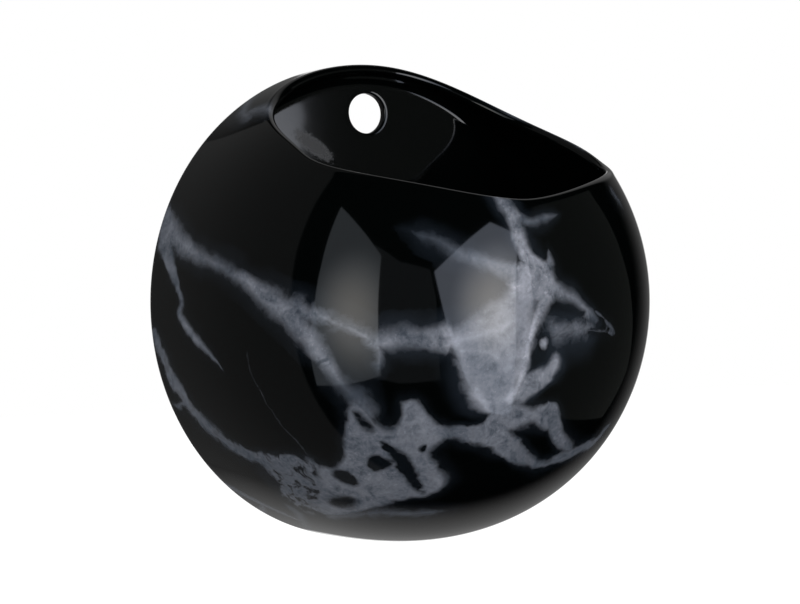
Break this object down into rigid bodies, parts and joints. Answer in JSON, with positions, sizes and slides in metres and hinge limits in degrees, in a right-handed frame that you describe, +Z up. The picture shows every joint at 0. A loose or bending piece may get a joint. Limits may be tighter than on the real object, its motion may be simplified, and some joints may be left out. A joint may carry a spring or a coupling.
{
  "type": "wall planter",
  "caption": "Round domed ceramic pot with a flat back and a sloping oval mouth, hung on a wall by a hole in its back to hold a small plant.",
  "frame": {"origin": "centre of the hanging hole, on the plane of the wall that the pot hangs on", "axes": "+X to the right as seen by someone facing the wall, +Y into the wall, +Z up"},
  "size_m": [0.18, 0.116, 0.1801],
  "materials": {
    "glaze": "high-gloss black glaze with pale grey marbling"
  },
  "bodies": {
    "root": {"planter_shell": "glaze"}
  },
  "joints": []
}
